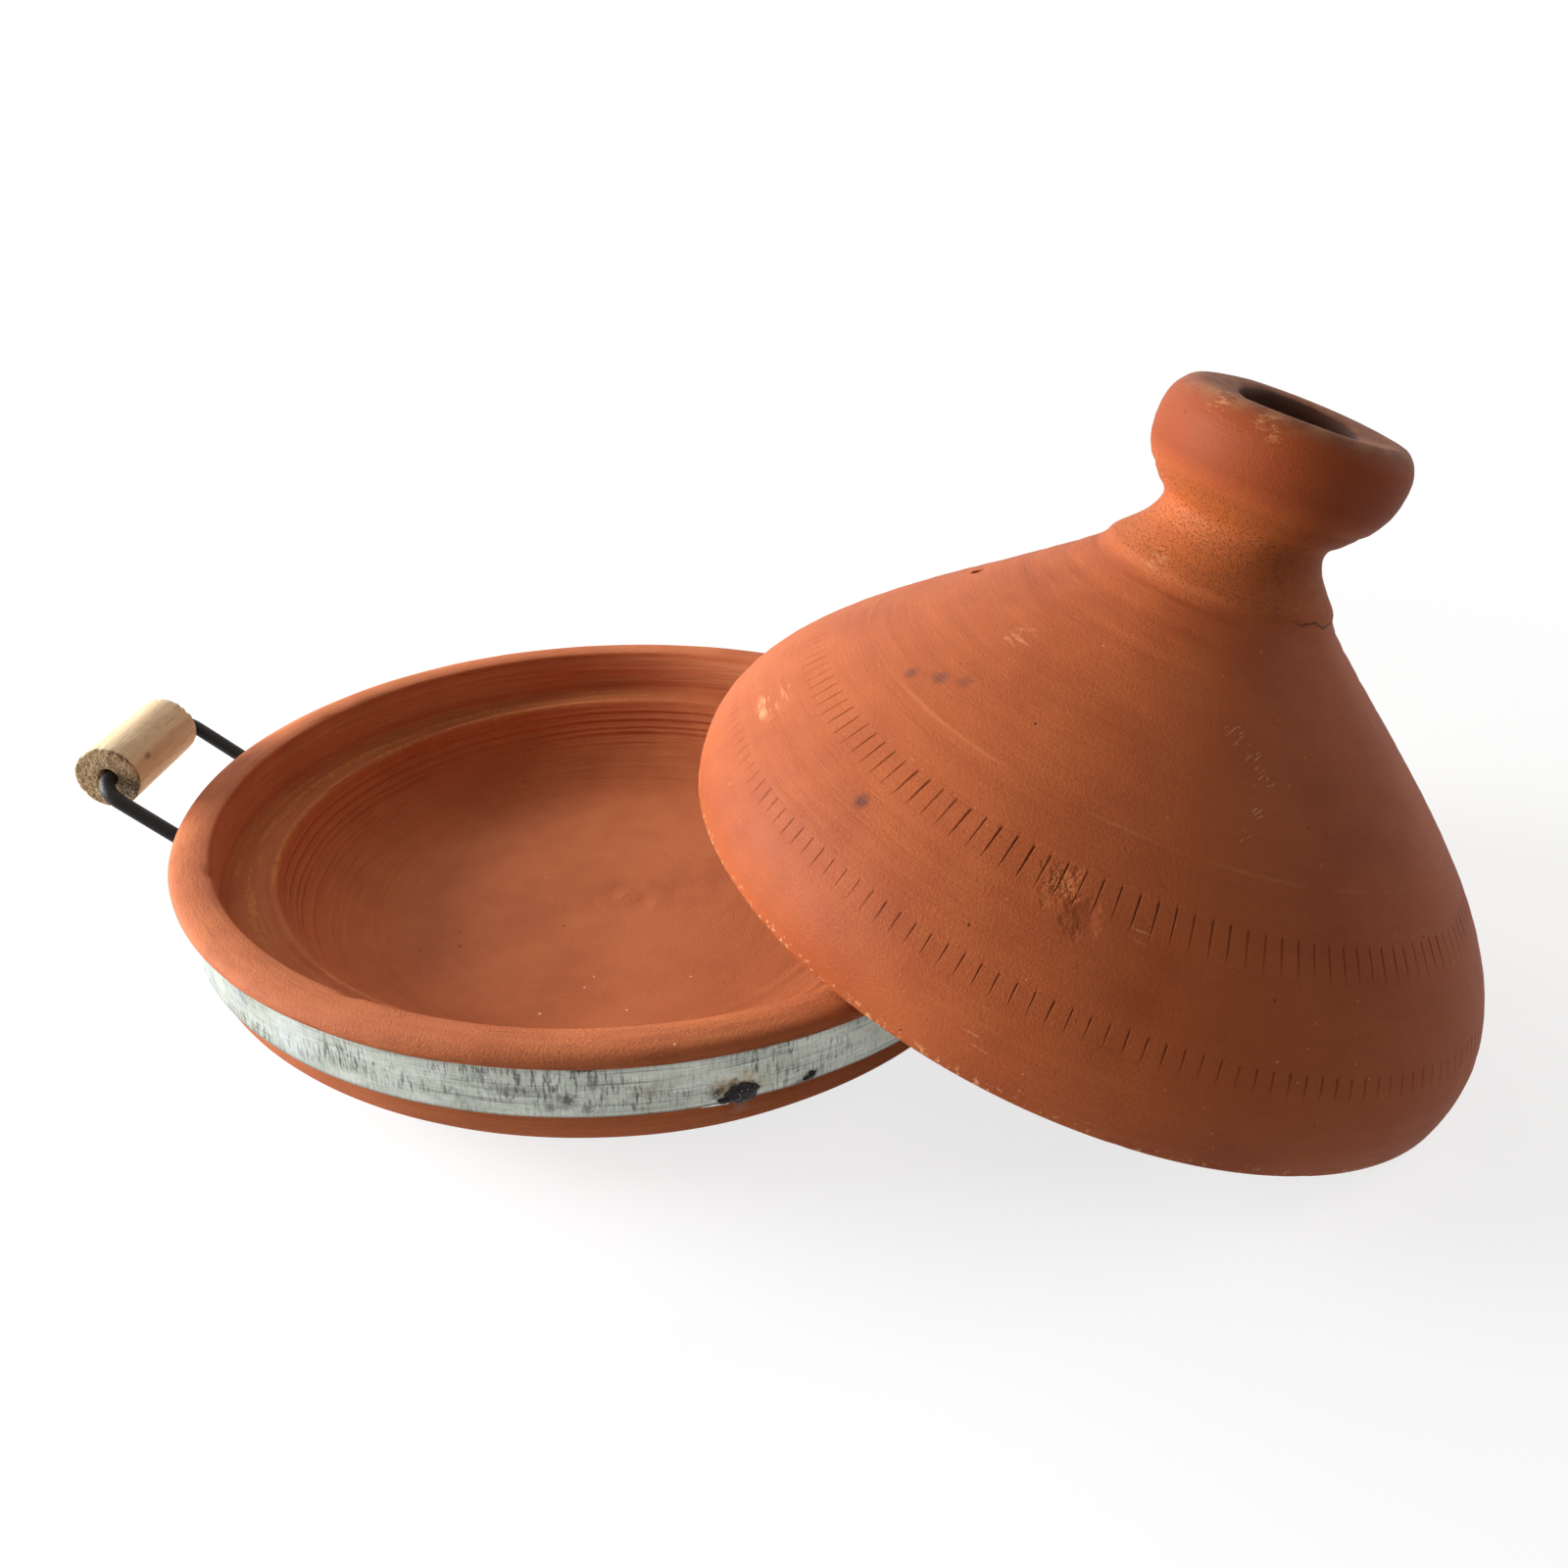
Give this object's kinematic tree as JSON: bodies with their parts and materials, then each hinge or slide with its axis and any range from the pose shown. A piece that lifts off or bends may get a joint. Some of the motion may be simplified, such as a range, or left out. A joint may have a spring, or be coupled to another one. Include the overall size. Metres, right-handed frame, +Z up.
{
  "type": "tagine pot",
  "caption": "Unglazed terracotta tagine with its lid off: a shallow dish in a galvanised hoop with wooden-gripped wire handles, and a conical lid leaning on its rim.",
  "frame": {"origin": "centre of the dish's flat foot, on the table", "axes": "+Z up along the dish's axis; the two handles lie on +X and -X; the lid leans to +X; -Y faces the viewer"},
  "size_m": [0.4799, 0.3092, 0.2069],
  "materials": {
    "terracotta_dish": "matt, unglazed",
    "terracotta_lid": "matt, unglazed",
    "galvanised_strip": "galvanised, dull and scratched",
    "burnt_weld": "burnt, rough",
    "blackened_rod": "dark brown mill scale",
    "beech_dowel": "bare, sanded"
  },
  "bodies": {
    "dish_body": {"dish": "terracotta_dish", "band": "galvanised_strip", "band_lap_weld": "burnt_weld", "band_tack_weld": "burnt_weld", "left_handle_rod": "blackened_rod", "left_handle_welds": "burnt_weld", "right_handle_rod": "blackened_rod", "right_handle_welds": "burnt_weld"},
    "lid_body": {"lid": "terracotta_lid"},
    "left_grip_body": {"left_handle_grip": "beech_dowel"},
    "right_grip_body": {"right_handle_grip": "beech_dowel"}
  },
  "joints": [
    {"name": "lid_lift", "type": "slide", "parent": "dish_body", "child": "lid_body", "axis": [0, 0, 1], "range_m": [0, 0.2]},
    {"name": "left_grip_spin", "type": "hinge", "parent": "dish_body", "child": "left_grip_body", "pos_m": [-0.172, 0, 0.0665], "axis": [0, 1, 0], "continuous": true},
    {"name": "right_grip_spin", "type": "hinge", "parent": "dish_body", "child": "right_grip_body", "pos_m": [0.172, 0, 0.0665], "axis": [0, 1, 0], "continuous": true}
  ]
}
